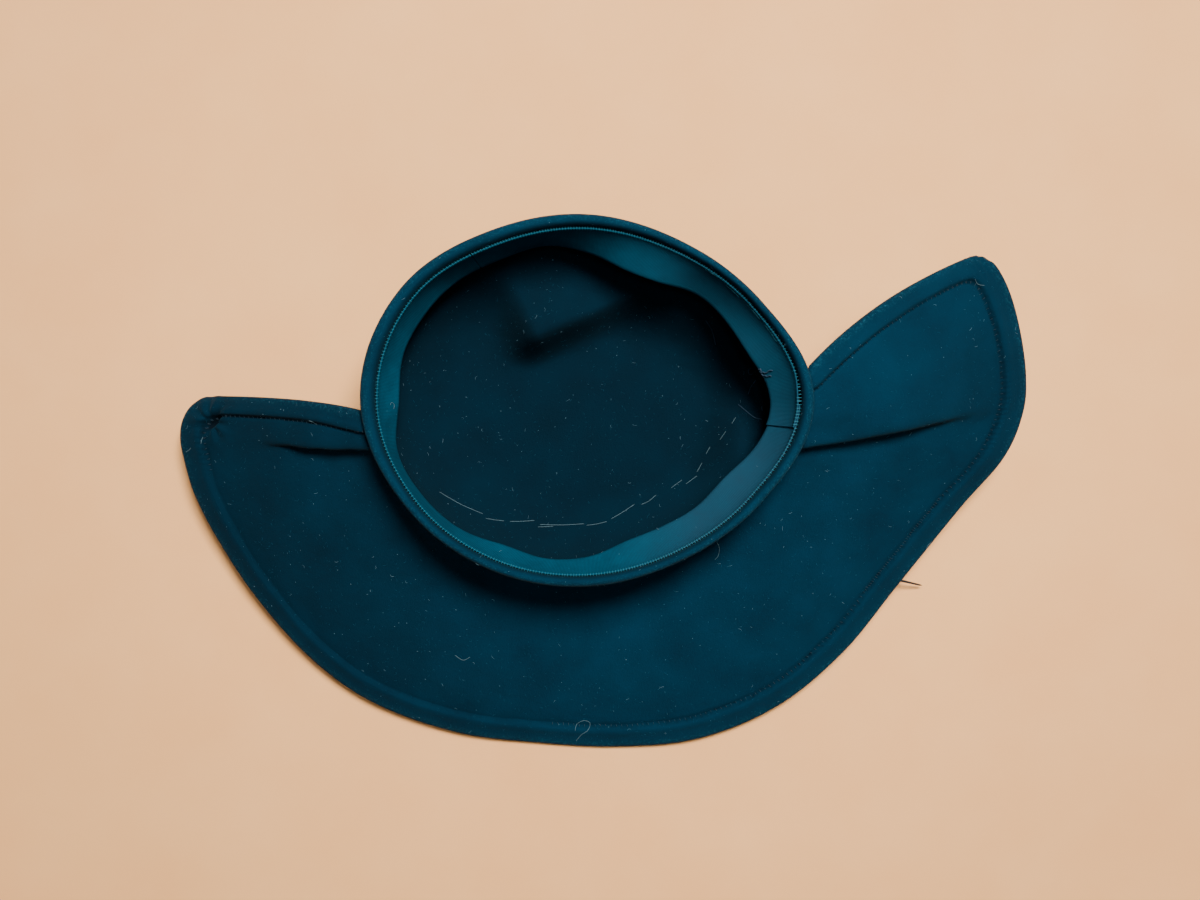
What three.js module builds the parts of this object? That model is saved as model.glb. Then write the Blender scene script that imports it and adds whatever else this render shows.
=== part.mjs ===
// A felt tilt hat that lies crown down with its head opening up, in millimetres.
// +X runs to the right of the opening, +Y away from the brim, +Z up, and the table is z = 0.
import * as THREE from "three";

const { clamp, degToRad, lerp, smoothstep } = THREE.MathUtils;

// Felt and sewing
const FELT = 2.2; // one layer of felt
const HEM_WIDTH = 8; // turned edge of the brim
const HEM_SLOPE = 1.6; // width over which the turned edge thins out
const SEAM_GAP = 0.35; // air between sewn pieces

// Crown
const CROWN_X = -5.5;
const CROWN_Y = 39.4;
const CROWN_HEIGHT = 62;
const TIP_SHARE = 0.55; // radius of the flat tip against the rim's
const TIP_RINGS = 5;
const RIM_ROLL = 2.6; // height of the rounding on top of the folded rim
const RIM_FOLD_DEPTH = 12; // how far the fold reaches down inside
const WALL_HEIGHT = CROWN_HEIGHT - RIM_ROLL;
const CROWN_SIDES = 64;
const DENT_FADE = [20, 50]; // heights between which a dent of the tip dies out

// Sweatband
const RIBBON_WIDTH = 18.5;
const RIBBON_THICKNESS = 1;
const RIBBON_TOP = 58; // height of the stitched edge
const RIBBON_CURL = 1.4; // how late across its width the ribbon leans in
const RIBBON_STEP = 5; // degrees between sections
const LAP_END = -7.4; // where the short length ends on top of the long one, in degrees
const LAP_UNDER = 359; // where the long length ends under it
const LAP_LIFT = 1.4;
const LAP_SLOPE = [1.5, 9]; // degrees over which the short length comes down again
const JOIN_ANGLE = 129; // butt join of the two lengths
const JOIN_GAP = 1.2; // degrees

// Brim
const BRIM_EDGE = FELT; // rounding outside the last row of the sheet
const STATION_STEP = 0.5;
const FOLD_STEPS = [-2, -1.3, -0.9, -0.6, -0.3, 0, 0.3, 0.6, 0.9, 1.3, 2];
const EDGE_ROWS = [11, 8.6, 6.6, 3, 0]; // distances from the outer edge
const INNER_ROWS = 8;
const FOLD_SPREAD = 4; // fold widths over which a step levels out again
const FOLD_SHARPNESS = 1.5; // how suddenly the felt steps down
const FOLD_WHOLE = 0.35; // share of its reach over which a fold keeps its full depth
const FOLD_START = 0.4; // share of its drop that a fold has beside the crown
const FOLD_GROWTH = [0.05, 0.45]; // shares of the brim over which the drop grows to all of it
const LAP_PEAK = Math.sqrt(2 * Math.E); // makes the greatest lap one overhang

// Quill, as stations and shares on the underside of the brim
const QUILL = { root: [15.6, 0.3], exit: [16, 1], showing: 16, rootRadius: 1.3, tipRadius: 0.35 };
const QUILL_SECTIONS = 14;
const QUILL_SIDES = 8;
const QUILL_GAP = 0.45;

// The rim's outer radius and its width up to the sweatband, a row every 30 degrees from +X towards +Y.
const RIM = table("angle radius width", [
  [0, 93.2, 5.2],
  [30, 82.4, 3.7],
  [60, 76.3, 4.2],
  [90, 77.0, 5.0],
  [120, 81.2, 5.5],
  [150, 90.7, 5.7],
  [180, 94.4, 6.1],
  [210, 87.4, 4.2],
  [240, 80.8, 4.1],
  [270, 76.7, 4.2],
  [300, 76.4, 3.8],
  [330, 83.0, 4.4],
]);

// How far the sweatband's free edge leans in from its stitched edge, a row every 15 degrees.
const LEAN = table("angle reach", [
  [0, 9.6],
  [15, 12.4],
  [30, 10.3],
  [45, 9.3],
  [60, 12.7],
  [75, 12.5],
  [90, 7.8],
  [105, 3.3],
  [120, 3.6],
  [135, 4.1],
  [150, 5.3],
  [165, 5.1],
  [180, 6.5],
  [195, 1.3],
  [210, 1.2],
  [225, 2.3],
  [240, 5.3],
  [255, 4.4],
  [270, 6.0],
  [285, 10.0],
  [300, 10.6],
  [315, 10.7],
  [330, 12.3],
  [345, 10.3],
]);

// Dents pushed in from outside: place from the crown's centre, turn, half sizes and rise.
const DENTS = table("x y turn before after below above rise", [
  [-22, 31, 24, 12, 55, 7, 28, 25],
  [65, -11, 84, 24, 24, 9, 11, 9],
  [38, 46, -40, 28, 24, 14, 16, 14],
]);

// The brim, a row for each station: where it joins the crown, its outer edge, and its arch.
const BRIM = table("angle root x y z bow swing", [
  [183.8, 53, -175.0, 40.6, 16, 2, -2.5],
  [185.2, 53, -181.5, 37.6, 15.5, 2, -1],
  [187.2, 52.5, -185.4, 31.8, 15, 2, 0],
  [190, 51, -186.5, 24.9, 14.5, 2, 0],
  [195, 46, -185.5, 17.4, 14, 3, 0],
  [203, 42, -180.9, 0.4, 13, 4, 0],
  [213, 37, -170.7, -20.7, 11, 5, 0],
  [225, 32, -154.7, -45.9, 9, 5, 0],
  [237, 28, -131.5, -73.3, 6, 5, 0],
  [248, 25.5, -103.9, -93.9, 4, 5, 0],
  [260, 24, -66.5, -107.9, 2.2, 5, 0],
  [272, 23, -29.4, -113.1, 0.65, 5, 0],
  [284, 23, 6.9, -114.9, 0.65, 5, 0],
  [296, 24, 43.6, -111.0, 2.2, 5, 0],
  [308, 27, 78.8, -96.2, 4, 5, 0],
  [319, 31, 107.9, -71.2, 8, 5, 0],
  [330, 36, 131.8, -40.3, 12, 4, 0],
  [339, 41, 158.9, -5.3, 16, 3, 0],
  [344.5, 45, 177.1, 16.9, 19, 3, 0],
  [350, 50, 184.5, 35.8, 21, 3, 0],
  [354, 53, 185.2, 52.0, 23, 3, 0],
  [357.5, 54, 181.7, 71.5, 26, 3, 0],
  [361, 54, 176.0, 88.6, 29, 3, 1],
  [364.2, 54, 169.3, 99.6, 30, 3, 3],
  [367, 54, 162.3, 102.4, 30, 3, 5],
]);
const LAST_STATION = BRIM.angle.length - 1;

// Folds near the two ends, where the felt steps up and laps over itself beside the crown; each
// drifts along the stations as it runs out to the edge.
const FOLDS = table("station drift width drop overhang reach high", [
  [3.3, 0.1, 0.45, 8, 3.2, 0.62, -1],
  [18.75, 0.45, 0.45, 8, 3.2, 1, 1],
]);

// Turns rows under named columns into one list of numbers for each name.
function table(names, rows) {
  return Object.fromEntries(names.split(" ").map((name, i) => [name, rows.map((row) => row[i])]));
}

// Calls a function with each row of a table, as an object of its named values.
function eachRow(columns, visit) {
  const names = Object.keys(columns);
  columns[names[0]].forEach((_, i) => {
    visit(Object.fromEntries(names.map((name) => [name, columns[name][i]])));
  });
}

// A smooth curve through evenly spaced values; valueAt reads one by its whole number.
function smoothAt(valueAt, position) {
  const i = Math.floor(position);
  const t = position - i;
  const [a, b, c, d] = [valueAt(i - 1), valueAt(i), valueAt(i + 1), valueAt(i + 2)];
  return b + 0.5 * t * (c - a + t * (2 * a - 5 * b + 4 * c - d + t * (3 * (b - c) + d - a)));
}

function around(values, degrees) {
  const count = values.length;
  return smoothAt((i) => values[((i % count) + count) % count], (degrees * count) / 360);
}

function along(values, station) {
  return smoothAt((i) => values[clamp(i, 0, values.length - 1)], station);
}

function upTo(count) {
  return Array.from({ length: count }, (_, i) => i);
}

function span(from, to, steps) {
  return Array.from({ length: steps + 1 }, (_, i) => lerp(from, to, i / steps));
}

function polar(degrees, radius, height) {
  const turn = degToRad(degrees);
  return new THREE.Vector3(
    CROWN_X + radius * Math.cos(turn),
    CROWN_Y + radius * Math.sin(turn),
    height,
  );
}

// The crown's outer wall bends from the flat tip to the rim as a quarter of an ellipse.
function wallRadius(degrees, height) {
  const drop = 1 - Math.min(height, WALL_HEIGHT) / WALL_HEIGHT;
  const bend = Math.sqrt(1 - drop * drop);
  return around(RIM.radius, degrees) * lerp(TIP_SHARE, 1, bend);
}

function dentRise(point) {
  let rise = 0;
  eachRow(DENTS, (dent) => {
    const turn = degToRad(dent.turn);
    const x = point.x - CROWN_X - dent.x;
    const y = point.y - CROWN_Y - dent.y;
    const length = x * Math.cos(turn) + y * Math.sin(turn);
    const width = y * Math.cos(turn) - x * Math.sin(turn);
    const reach = length < 0 ? dent.before : dent.after;
    const spread = width < 0 ? dent.below : dent.above;
    rise += dent.rise * Math.exp(-((length / reach) ** 2) - (width / spread) ** 2);
  });
  return rise * (1 - smoothstep(point.z, ...DENT_FADE));
}

function dented(point) {
  point.z += dentRise(point);
  return point;
}

// One side of the crown as pairs of radius and height, out along the outside and back inside.
function crownSection(angle) {
  const rim = around(RIM.radius, angle);
  const width = around(RIM.width, angle);
  const tip = rim * TIP_SHARE;
  const flat = span(0, tip, TIP_RINGS).slice(1);
  const bend = (radius, base) => (degrees) => [
    tip + (radius - tip) * Math.sin(degToRad(degrees)),
    base + (WALL_HEIGHT - base) * (1 - Math.cos(degToRad(degrees))),
  ];
  const roll = (degrees) => [
    rim - (width / 2) * (1 - Math.cos(degToRad(degrees))),
    WALL_HEIGHT + RIM_ROLL * Math.sin(degToRad(degrees)),
  ];
  return [
    ...flat.map((radius) => [radius, 0]),
    ...span(10, 90, 8).map(bend(rim, 0)),
    ...span(30, 180, 5).map(roll),
    [rim - width, WALL_HEIGHT - RIM_FOLD_DEPTH],
    ...span(70, 10, 6).map(bend(rim - FELT, FELT)),
    ...flat.reverse().map((radius) => [radius, FELT]),
  ];
}

function crownGeometry() {
  const angles = span(0, 360, CROWN_SIDES).slice(0, -1);
  const sections = angles.map(crownSection);
  const rings = sections[0].map((_, level) =>
    angles.map((angle, side) => dented(polar(angle, ...sections[side][level]))),
  );
  return skinRings(dented(polar(0, 0, 0)), rings, dented(polar(0, 0, FELT)));
}

// A point on the middle of the ribbon: across runs from the stitched edge to the free one.
function ribbonPoint(degrees, across) {
  const reach = around(LEAN.reach, degrees);
  const drop = Math.sqrt(RIBBON_WIDTH ** 2 - reach ** 2);
  const inset = around(RIM.width, degrees) + SEAM_GAP + RIBBON_THICKNESS / 2;
  const radius = around(RIM.radius, degrees) - inset - reach * across ** RIBBON_CURL;
  return polar(degrees, radius, RIBBON_TOP - drop * across);
}

function ribbonGeometry(from, to, liftAt) {
  const angles = span(from, to, Math.round((to - from) / RIBBON_STEP));
  const grid = angles.map((angle) => span(0, 1, 3).map((across) => ribbonPoint(angle, across)));
  const half = RIBBON_THICKNESS / 2;
  const outer = offset(grid, (i) => half - liftAt(angles[i]));
  const inner = offset(grid, (i) => -half - liftAt(angles[i]));
  return closeSheet(outer, inner, false);
}

function shortRibbonLift(degrees) {
  return LAP_LIFT * (1 - smoothstep(degrees, ...LAP_SLOPE));
}

// Moves a point along the brim's stations where a fold lies, and steps its height.
function addFolds(point, sideways, station, share) {
  eachRow(FOLDS, (fold) => {
    const across = (station - fold.station - fold.drift * share) / fold.width;
    const fade = 1 - smoothstep(share, FOLD_WHOLE * fold.reach, fold.reach);
    const levelling = Math.exp(-((across / FOLD_SPREAD) ** 2));
    const step = Math.tanh(FOLD_SHARPNESS * across) * levelling;
    const lap = -LAP_PEAK * across * Math.exp(-(across ** 2));
    const grown = lerp(FOLD_START, 1, smoothstep(share, ...FOLD_GROWTH));
    point.z += 0.5 * fold.drop * fold.high * step * grown * fade;
    point.addScaledVector(sideways, fold.overhang * lap * fade);
  });
}

// A point on the middle of the brim: share runs from the crown to the outer edge.
function brimPoint(station, share) {
  const at = (name) => along(BRIM[name], station);
  const inner = polar(at("angle"), wallRadius(at("angle"), at("root")) + SEAM_GAP, at("root"));
  const outer = new THREE.Vector3(at("x"), at("y"), at("z"));
  const run = outer.clone().sub(inner);
  const trimmed = share * (1 - BRIM_EDGE / run.length());
  const point = inner.addScaledVector(run, trimmed);
  const sideways = new THREE.Vector3(-run.y, run.x, 0).normalize();
  const arch = 4 * share * (1 - share);
  point.addScaledVector(sideways, at("swing") * arch);
  point.z += at("bow") * arch;
  addFolds(point, sideways, station, share);
  return point;
}

function brimStations() {
  const even = span(0, LAST_STATION, LAST_STATION / STATION_STEP);
  const middles = FOLDS.station.map((station, i) => station + FOLDS.drift[i] / 2);
  const nearFold = (station) =>
    middles.some((middle, i) => Math.abs(station - middle) < 2.2 * FOLDS.width[i]);
  const folded = middles.flatMap((middle, i) =>
    FOLD_STEPS.map((step) => middle + step * FOLDS.width[i]),
  );
  const kept = even.filter((station) => !nearFold(station));
  return [...kept, ...folded].sort((a, b) => a - b);
}

function brimShares(station) {
  const length = brimPoint(station, 0).distanceTo(brimPoint(station, 1));
  const edge = EDGE_ROWS.map((distance) => 1 - distance / length);
  return [...span(0, edge[0], INNER_ROWS).slice(0, -1), ...edge];
}

// The turned edge makes the sheet twice as thick near its two ends and its outer edge.
function hemThickness(grid) {
  const border = [...grid[0], ...grid.map((row) => row.at(-1)), ...grid.at(-1)];
  return (i, j) => {
    const distance = Math.min(...border.map((point) => point.distanceTo(grid[i][j])));
    return FELT * (1 - smoothstep(distance, HEM_WIDTH - HEM_SLOPE, HEM_WIDTH));
  };
}

// Keeps the brim's inner rows outside the crown's wall.
function clearOfCrown(point) {
  const x = point.x - CROWN_X;
  const y = point.y - CROWN_Y;
  const angle = (Math.atan2(y, x) * 180) / Math.PI;
  const least = wallRadius(angle, Math.max(point.z, 0)) + SEAM_GAP;
  const push = Math.max(1, least / Math.hypot(x, y));
  return new THREE.Vector3(CROWN_X + x * push, CROWN_Y + y * push, point.z);
}

function brimGeometry() {
  const grid = brimStations().map((station) =>
    brimShares(station).map((share) => brimPoint(station, share)),
  );
  const hem = hemThickness(grid);
  const upper = offset(grid, (i, j) => FELT / 2 + hem(i, j));
  const lower = offset(grid, () => -FELT / 2);
  const clear = (sheet) => sheet.map((row) => row.map(clearOfCrown));
  return closeSheet(clear(upper), clear(lower), true);
}

function underBrim(station, share, depth) {
  const step = 0.02;
  const along = brimPoint(station + step, share).sub(brimPoint(station - step, share));
  const out = brimPoint(station, share).sub(brimPoint(station, share - step));
  const up = out.cross(along).normalize();
  return brimPoint(station, share).addScaledVector(up, -depth);
}

function quillRoute() {
  const depth = FELT / 2 + QUILL_GAP + QUILL.rootRadius;
  const hidden = span(0, 1, QUILL_SECTIONS).map((part) => {
    const [station, share] = [0, 1].map((i) => lerp(QUILL.root[i], QUILL.exit[i], part));
    return underBrim(station, share, depth);
  });
  const [before, exit] = hidden.slice(-2);
  const heading = exit.clone().sub(before).normalize();
  const shown = span(0, QUILL.showing + BRIM_EDGE, 4).slice(1);
  return [...hidden, ...shown.map((distance) => exit.clone().addScaledVector(heading, distance))];
}

function quillGeometry() {
  const route = new THREE.CatmullRomCurve3(quillRoute());
  const parts = span(0, 1, QUILL_SECTIONS);
  const rings = parts.slice(1, -1).map((part) => {
    const radius = lerp(QUILL.rootRadius, QUILL.tipRadius, part);
    return ringAround(route.getPointAt(part), route.getTangentAt(part), radius);
  });
  return skinRings(route.getPointAt(0), rings, route.getPointAt(1));
}

function ringAround(centre, heading, radius) {
  const side = new THREE.Vector3(0, 0, 1).cross(heading).normalize();
  const up = heading.clone().cross(side);
  return span(0, 2 * Math.PI, QUILL_SIDES).slice(0, -1).map((turn) =>
    centre.clone()
      .addScaledVector(side, radius * Math.cos(turn))
      .addScaledVector(up, radius * Math.sin(turn)),
  );
}

// Moves each point of a grid along the sheet's upward normal.
function offset(grid, distanceAt) {
  const lastRow = grid.length - 1;
  const lastColumn = grid[0].length - 1;
  return grid.map((row, i) =>
    row.map((point, j) => {
      const rows = grid[Math.min(i + 1, lastRow)][j].clone().sub(grid[Math.max(i - 1, 0)][j]);
      const columns = row[Math.min(j + 1, lastColumn)].clone().sub(row[Math.max(j - 1, 0)]);
      return point.clone().addScaledVector(columns.cross(rows).normalize(), distanceAt(i, j));
    }),
  );
}

// Closes an upper and a lower grid into one body with blunt edges; a flush one has a plain first column.
function closeSheet(upper, lower, flush) {
  const rows = upper.length;
  const columns = upper[0].length;
  const top = (i, j) => i * columns + j;
  const under = (i, j) => (rows + i) * columns + j;
  const middle = (i, j) => upper[i][j].clone().lerp(lower[i][j], 0.5);
  const nose = ([i, j]) => {
    const within = middle(clamp(i, 1, rows - 2), clamp(j, 1, columns - 2));
    const out = middle(i, j).sub(within).normalize();
    const length = flush && j === 0 ? 0 : upper[i][j].distanceTo(lower[i][j]) / 2;
    return middle(i, j).addScaledVector(out, length);
  };
  const border = [
    ...upTo(columns - 1).map((j) => [0, j]),
    ...upTo(rows - 1).map((i) => [i, columns - 1]),
    ...upTo(columns - 1).map((j) => [rows - 1, columns - 1 - j]),
    ...upTo(rows - 1).map((i) => [rows - 1 - i, 0]),
  ];
  const faces = [];
  const quad = (a, b, c, d) => faces.push(a, b, c, a, c, d);
  for (let i = 0; i < rows - 1; i += 1) {
    for (let j = 0; j < columns - 1; j += 1) {
      quad(top(i, j), top(i, j + 1), top(i + 1, j + 1), top(i + 1, j));
      quad(under(i, j), under(i + 1, j), under(i + 1, j + 1), under(i, j + 1));
    }
  }
  border.forEach((from, k) => {
    const next = (k + 1) % border.length;
    const to = border[next];
    const noses = 2 * rows * columns;
    quad(top(...to), top(...from), noses + k, noses + next);
    quad(noses + next, noses + k, under(...from), under(...to));
  });
  return solidOf([...upper.flat(), ...lower.flat(), ...border.map(nose)], faces);
}

// Skins rings of points from one end point to the other.
function skinRings(start, rings, end) {
  const sides = rings[0].length;
  const at = (ring, side) => 1 + ring * sides + (side % sides);
  const last = rings.length - 1;
  const endIndex = 1 + rings.length * sides;
  const faces = [];
  for (let side = 0; side < sides; side += 1) {
    faces.push(0, at(0, side + 1), at(0, side));
    for (let ring = 0; ring < last; ring += 1) {
      faces.push(at(ring, side), at(ring, side + 1), at(ring + 1, side + 1));
      faces.push(at(ring, side), at(ring + 1, side + 1), at(ring + 1, side));
    }
    faces.push(at(last, side), at(last, side + 1), endIndex);
  }
  return solidOf([start, ...rings.flat(), end], faces);
}

function solidOf(points, faces) {
  const geometry = new THREE.BufferGeometry().setFromPoints(points);
  geometry.setIndex(faces);
  geometry.computeVertexNormals();
  return geometry;
}

function piece(name, geometry, color, roughness) {
  const mesh = new THREE.Mesh(
    geometry,
    new THREE.MeshStandardMaterial({ color, roughness, metalness: 0 }),
  );
  mesh.name = name;
  return mesh;
}

function tiltHat() {
  const hat = new THREE.Group();
  const flat = () => 0;
  const joinBefore = JOIN_ANGLE - JOIN_GAP;
  hat.add(
    piece("crown", crownGeometry(), 0x04384c, 0.95),
    piece("brim", brimGeometry(), 0x043a50, 0.95),
    piece("sweatband_long", ribbonGeometry(JOIN_ANGLE, LAP_UNDER, flat), 0x0a4a5e, 0.8),
    piece("sweatband_short", ribbonGeometry(LAP_END, joinBefore, shortRibbonLift), 0x17414f, 0.8),
    piece("quill", quillGeometry(), 0x14191f, 0.5),
  );
  return hat;
}

export default tiltHat();
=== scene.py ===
"""A felt tilt hat lying crown down, with its stitching, threads and lint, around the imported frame.

Lengths are millimetres until a mesh is made. +X runs to the right, +Y away from the brim, +Z up.
"""

import math

import bpy
import numpy as np
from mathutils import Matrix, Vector
from mathutils.bvhtree import BVHTree


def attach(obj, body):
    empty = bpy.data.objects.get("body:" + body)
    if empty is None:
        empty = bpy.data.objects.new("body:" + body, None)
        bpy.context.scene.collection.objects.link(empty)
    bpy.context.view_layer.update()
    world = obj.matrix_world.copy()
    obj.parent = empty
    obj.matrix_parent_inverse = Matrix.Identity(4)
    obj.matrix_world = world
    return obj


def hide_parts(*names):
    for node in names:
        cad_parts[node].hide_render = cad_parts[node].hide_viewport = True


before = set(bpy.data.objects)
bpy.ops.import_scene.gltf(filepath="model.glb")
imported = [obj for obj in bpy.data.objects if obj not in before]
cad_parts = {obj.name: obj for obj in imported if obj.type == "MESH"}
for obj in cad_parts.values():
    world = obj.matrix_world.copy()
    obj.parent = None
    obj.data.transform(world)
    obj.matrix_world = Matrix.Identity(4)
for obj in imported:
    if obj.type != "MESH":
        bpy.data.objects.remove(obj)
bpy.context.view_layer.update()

MM = 0.001

# Felt and sewing
FELT = 2.2
HEM_SCALE = 9.0
HEM_END_WIDTH = 7.3
HEM_ROUNDING = 2.6
HEM_STEP = 0.9
HEM_THICKNESS = 2.0
HEM_END_COLUMNS = 45
HEM_LINE = HEM_SCALE + 0.1
VALLEY_DEPTH = 0.45
CREST_HEIGHT = 0.25
STITCH_PITCH = 2.4
STITCH_RADIUS = 0.13
SLACKEST_STITCH = 0.3
PIT_DEPTH = 0.3
SLACK_X = (-70.0, 60.0)
SLACK_Y = (0.0, 24.0)
SLACK_SHARE = 0.25
SEAM_GAP = 0.35
BRIM_SINK = 0.5
LOWEST_FIBRE = 1.6
THREAD_DROP = 5.0

# Crown
CROWN_X = -5.5
CROWN_Y = 39.4
CROWN_HEIGHT = 62.0
TIP_SHARE = 0.55
RIM_ROLL = 2.6
RIM_FOLD_DEPTH = 12.0
ROLL_SKEW = 0.8
SEAM_SINK = 1.6
WALL_HEIGHT = CROWN_HEIGHT - RIM_ROLL
CROWN_SIDES = 384
TIP_RINGS = 25
WALL_RINGS = 44
ROLL_RINGS = 24
INNER_RINGS = 8
LINING_RINGS = 40
INNER_TOP_TURN = 68
DENT_FADE = (20.0, 50.0)

# Sweatband
RIBBON_WIDTH = 18.5
RIBBON_THICKNESS = 0.55
RIBBON_TOP = 58.0
RIBBON_CURL = 1.4
LAP_END = -7.4
LAP_UNDER = 359.0
LAP_LIFT = 0.8
LAP_SLOPE = (1.5, 9.0)
JOIN_ANGLE = 129.0
JOIN_GAP = 0.5
MEAN_RIBBON_RADIUS = 83
RIB_PITCH = 0.6
COLUMNS_A_RIB = 4
RIBBON_ROWS = 15
RIB_DEPTH = 0.07
PICOT_REACH = 0.3
RIBBON_STITCH_STEP = 0.93
RIBBON_STITCH_RADIUS = 0.17
LAPPED = (352.6, 1.5)

# Brim
BRIM_EDGE = FELT
LAST_STATION = 24
FOLD_SPREAD = 4.0
FOLD_SHARPNESS = 1.5
FOLD_WHOLE = 0.35
FOLD_START = 0.4
FOLD_GROWTH = (0.05, 0.45)
LAP_PEAK = math.sqrt(2 * math.e)
BRIM_COLUMNS = 560
BRIM_ROWS = 70
EDGE_ROWS = 42
EDGE_ZONE = 26.0
COLUMN_PLACES = 4001
FOLD_CROWDING = 3
FOLD_REACH = 2.7
PUCKER = (-170.8, 31.3)
PUCKER_TURN = 42.0
PUCKER_DEPTH = 5.0
PUCKER_HALF = (4.8, 1.7)
PLEATS = 7
PLEAT_DEPTH = 0.6
PLEAT_REACH = 9.0
CORNER_PLEAT = (162.6, 96.5)
CORNER_PLEAT_DEPTH = 0.25

# Quill
QUILL_ROOT = (15.6, 0.3)
QUILL_EXIT = (16.0, 1.0)
QUILL_SHOWING = 16.0
QUILL_ROOT_RADIUS = 1.3
QUILL_TIP_RADIUS = 0.35
QUILL_GAP = 0.45

# Fibres: how many, the seed, and how long, thick, upright and curled they are
FUZZ = (7500, 31, (0.5, 1.4), 0.03, (0.1, 0.7), 0.8)
LINT = (640, 32, (0.3, 2.2), 0.055, (0, 0.2), 2.0)
SPECKS = (700, 33, (0.25, 0.5), 0.11, (0, 0.1), 1.0)

# Camera, straight above the photographed floor, in a picture 1200 pixels wide
CAMERA = (-0.8, 19.1, 640.0)
PIXEL = 0.455
PICTURE = (1200, 900)
SENSOR = 36.0

# Materials: the scale of the maps, the mottling of plain pieces, and how far painted shade darkens
# the felt and where
MAP_SCALE = 0.01
MOTTLING = 0.3
# The near-black colour that painted shade mixes into the felt and the ribbon
PAINTED_SHADE_COLOUR = (0.0003, 0.003, 0.006)
# How strongly painted shade darkens the inside of the crown
INSIDE_PAINTED_SHADE = 0.62
# Painted shade on the brim's wings: how strong, where the felt is lightest, and the x range over
# which it grows
WING_PAINTED_SHADE = 0.42
BRIGHTEST_X = 42.0
WING_SHADE_REACH = (55.0, 195.0)

# Studio light and floor: metres, watts, and degrees for the cone
KEY_PLACE = (0.32, 0.7, 1.6)
KEY_TARGET = (0, 0.02, 0.02)
KEY_COLOUR = (1, 0.97, 0.93)
KEY_SIZE = 0.6
KEY_POWER = 73
TOP_PLACE = (-0.005, 0.05, 1.5)
TOP_POWER = 240
TOP_CONE = 6.0
TOP_BLEND = 0.8
TOP_RADIUS = 0.25
ROOM_COLOUR = (0.94, 0.96, 1)
FLOOR_HALF = 14.0
BACKDROP_STRENGTH = 0.5
BACKDROP_TOP = (0.05, 0.35)
ROOM_STRENGTH = 0.01


def table(names, rows):
    """Rows under named columns, as one array for each name."""
    return dict(zip(names.split(), np.array(rows, dtype=float).T))


# The rim's outer radius and its width up to the sweatband, a row every 30 degrees.
RIM = table("angle radius width", [
    (0, 93.2, 5.2),
    (30, 82.4, 3.7),
    (60, 76.3, 4.2),
    (90, 77.0, 5.0),
    (120, 81.2, 5.5),
    (150, 90.7, 5.7),
    (180, 94.4, 6.1),
    (210, 87.4, 4.2),
    (240, 80.8, 4.1),
    (270, 76.7, 4.2),
    (300, 76.4, 3.8),
    (330, 83.0, 4.4),
])

# How far the sweatband's free edge leans in, a row every 15 degrees.
LEAN = table("angle reach", [
    (0, 9.6),
    (15, 12.4),
    (30, 10.3),
    (45, 9.3),
    (60, 12.7),
    (75, 12.5),
    (90, 7.8),
    (105, 3.3),
    (120, 3.6),
    (135, 4.1),
    (150, 5.3),
    (165, 5.1),
    (180, 6.5),
    (195, 1.3),
    (210, 1.2),
    (225, 2.3),
    (240, 5.3),
    (255, 4.4),
    (270, 6.0),
    (285, 10.0),
    (300, 10.6),
    (315, 10.7),
    (330, 12.3),
    (345, 10.3),
])

# Dents pushed in from outside: place from the crown's centre, turn, half sizes and rise.
DENTS = table("x y turn before after below above rise", [
    (-22, 31, 24, 12, 55, 7, 28, 25),
    (65, -11, 84, 24, 24, 9, 11, 9),
    (38, 46, -40, 28, 24, 14, 16, 14),
])

# The brim, a row for each station: where it joins the crown, its outer edge, and its arch.
BRIM = table("angle root x y z bow swing hem", [
    (183.8, 53, -175.0, 40.6, 16, 2, -2.5, 8.8),
    (185.2, 53, -181.5, 37.6, 15.5, 2, -1, 9.5),
    (187.2, 52.5, -185.4, 31.8, 15, 2, 0, 10),
    (190, 51, -186.5, 24.9, 14.5, 2, 0, 10.7),
    (195, 46, -185.5, 17.4, 14, 3, 0, 10.9),
    (203, 42, -180.9, 0.4, 13, 4, 0, 10.6),
    (213, 37, -170.7, -20.7, 11, 5, 0, 9.8),
    (225, 32, -154.7, -45.9, 9, 5, 0, 9),
    (237, 28, -131.5, -73.3, 6, 5, 0, 8.6),
    (248, 25.5, -103.9, -93.9, 4, 5, 0, 9),
    (260, 24, -66.5, -107.9, 2.2, 5, 0, 9.4),
    (272, 23, -29.4, -113.1, 0.65, 5, 0, 9.2),
    (284, 23, 6.9, -114.9, 0.65, 5, 0, 8.9),
    (296, 24, 43.6, -111.0, 2.2, 5, 0, 9.5),
    (308, 27, 78.8, -96.2, 4, 5, 0, 9.2),
    (319, 31, 107.9, -71.2, 8, 5, 0, 9.3),
    (330, 36, 131.8, -40.3, 12, 4, 0, 9.5),
    (339, 41, 158.9, -5.3, 16, 3, 0, 10.4),
    (344.5, 45, 177.1, 16.9, 19, 3, 0, 11),
    (350, 50, 184.5, 35.8, 21, 3, 0, 11),
    (354, 53, 185.2, 52.0, 23, 3, 0, 10.5),
    (357.5, 54, 181.7, 71.5, 26, 3, 0, 10.6),
    (361, 54, 176.0, 88.6, 29, 3, 1, 10.9),
    (364.2, 54, 169.3, 99.6, 30, 3, 3, 10.4),
    (367, 54, 162.3, 102.4, 30, 3, 5, 9),
])

# Folds near the two ends, where the felt steps up and laps over itself beside the crown.
FOLDS = table("station drift width drop overhang reach high", [
    (3.3, 0.1, 0.45, 8, 3.2, 0.62, -1),
    (18.75, 0.45, 0.45, 8, 3.2, 1, 1),
])


def rows_of(columns):
    """Each row of a table, as a dictionary of its named values."""
    names = list(columns)
    return [dict(zip(names, row)) for row in zip(*columns.values())]


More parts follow.
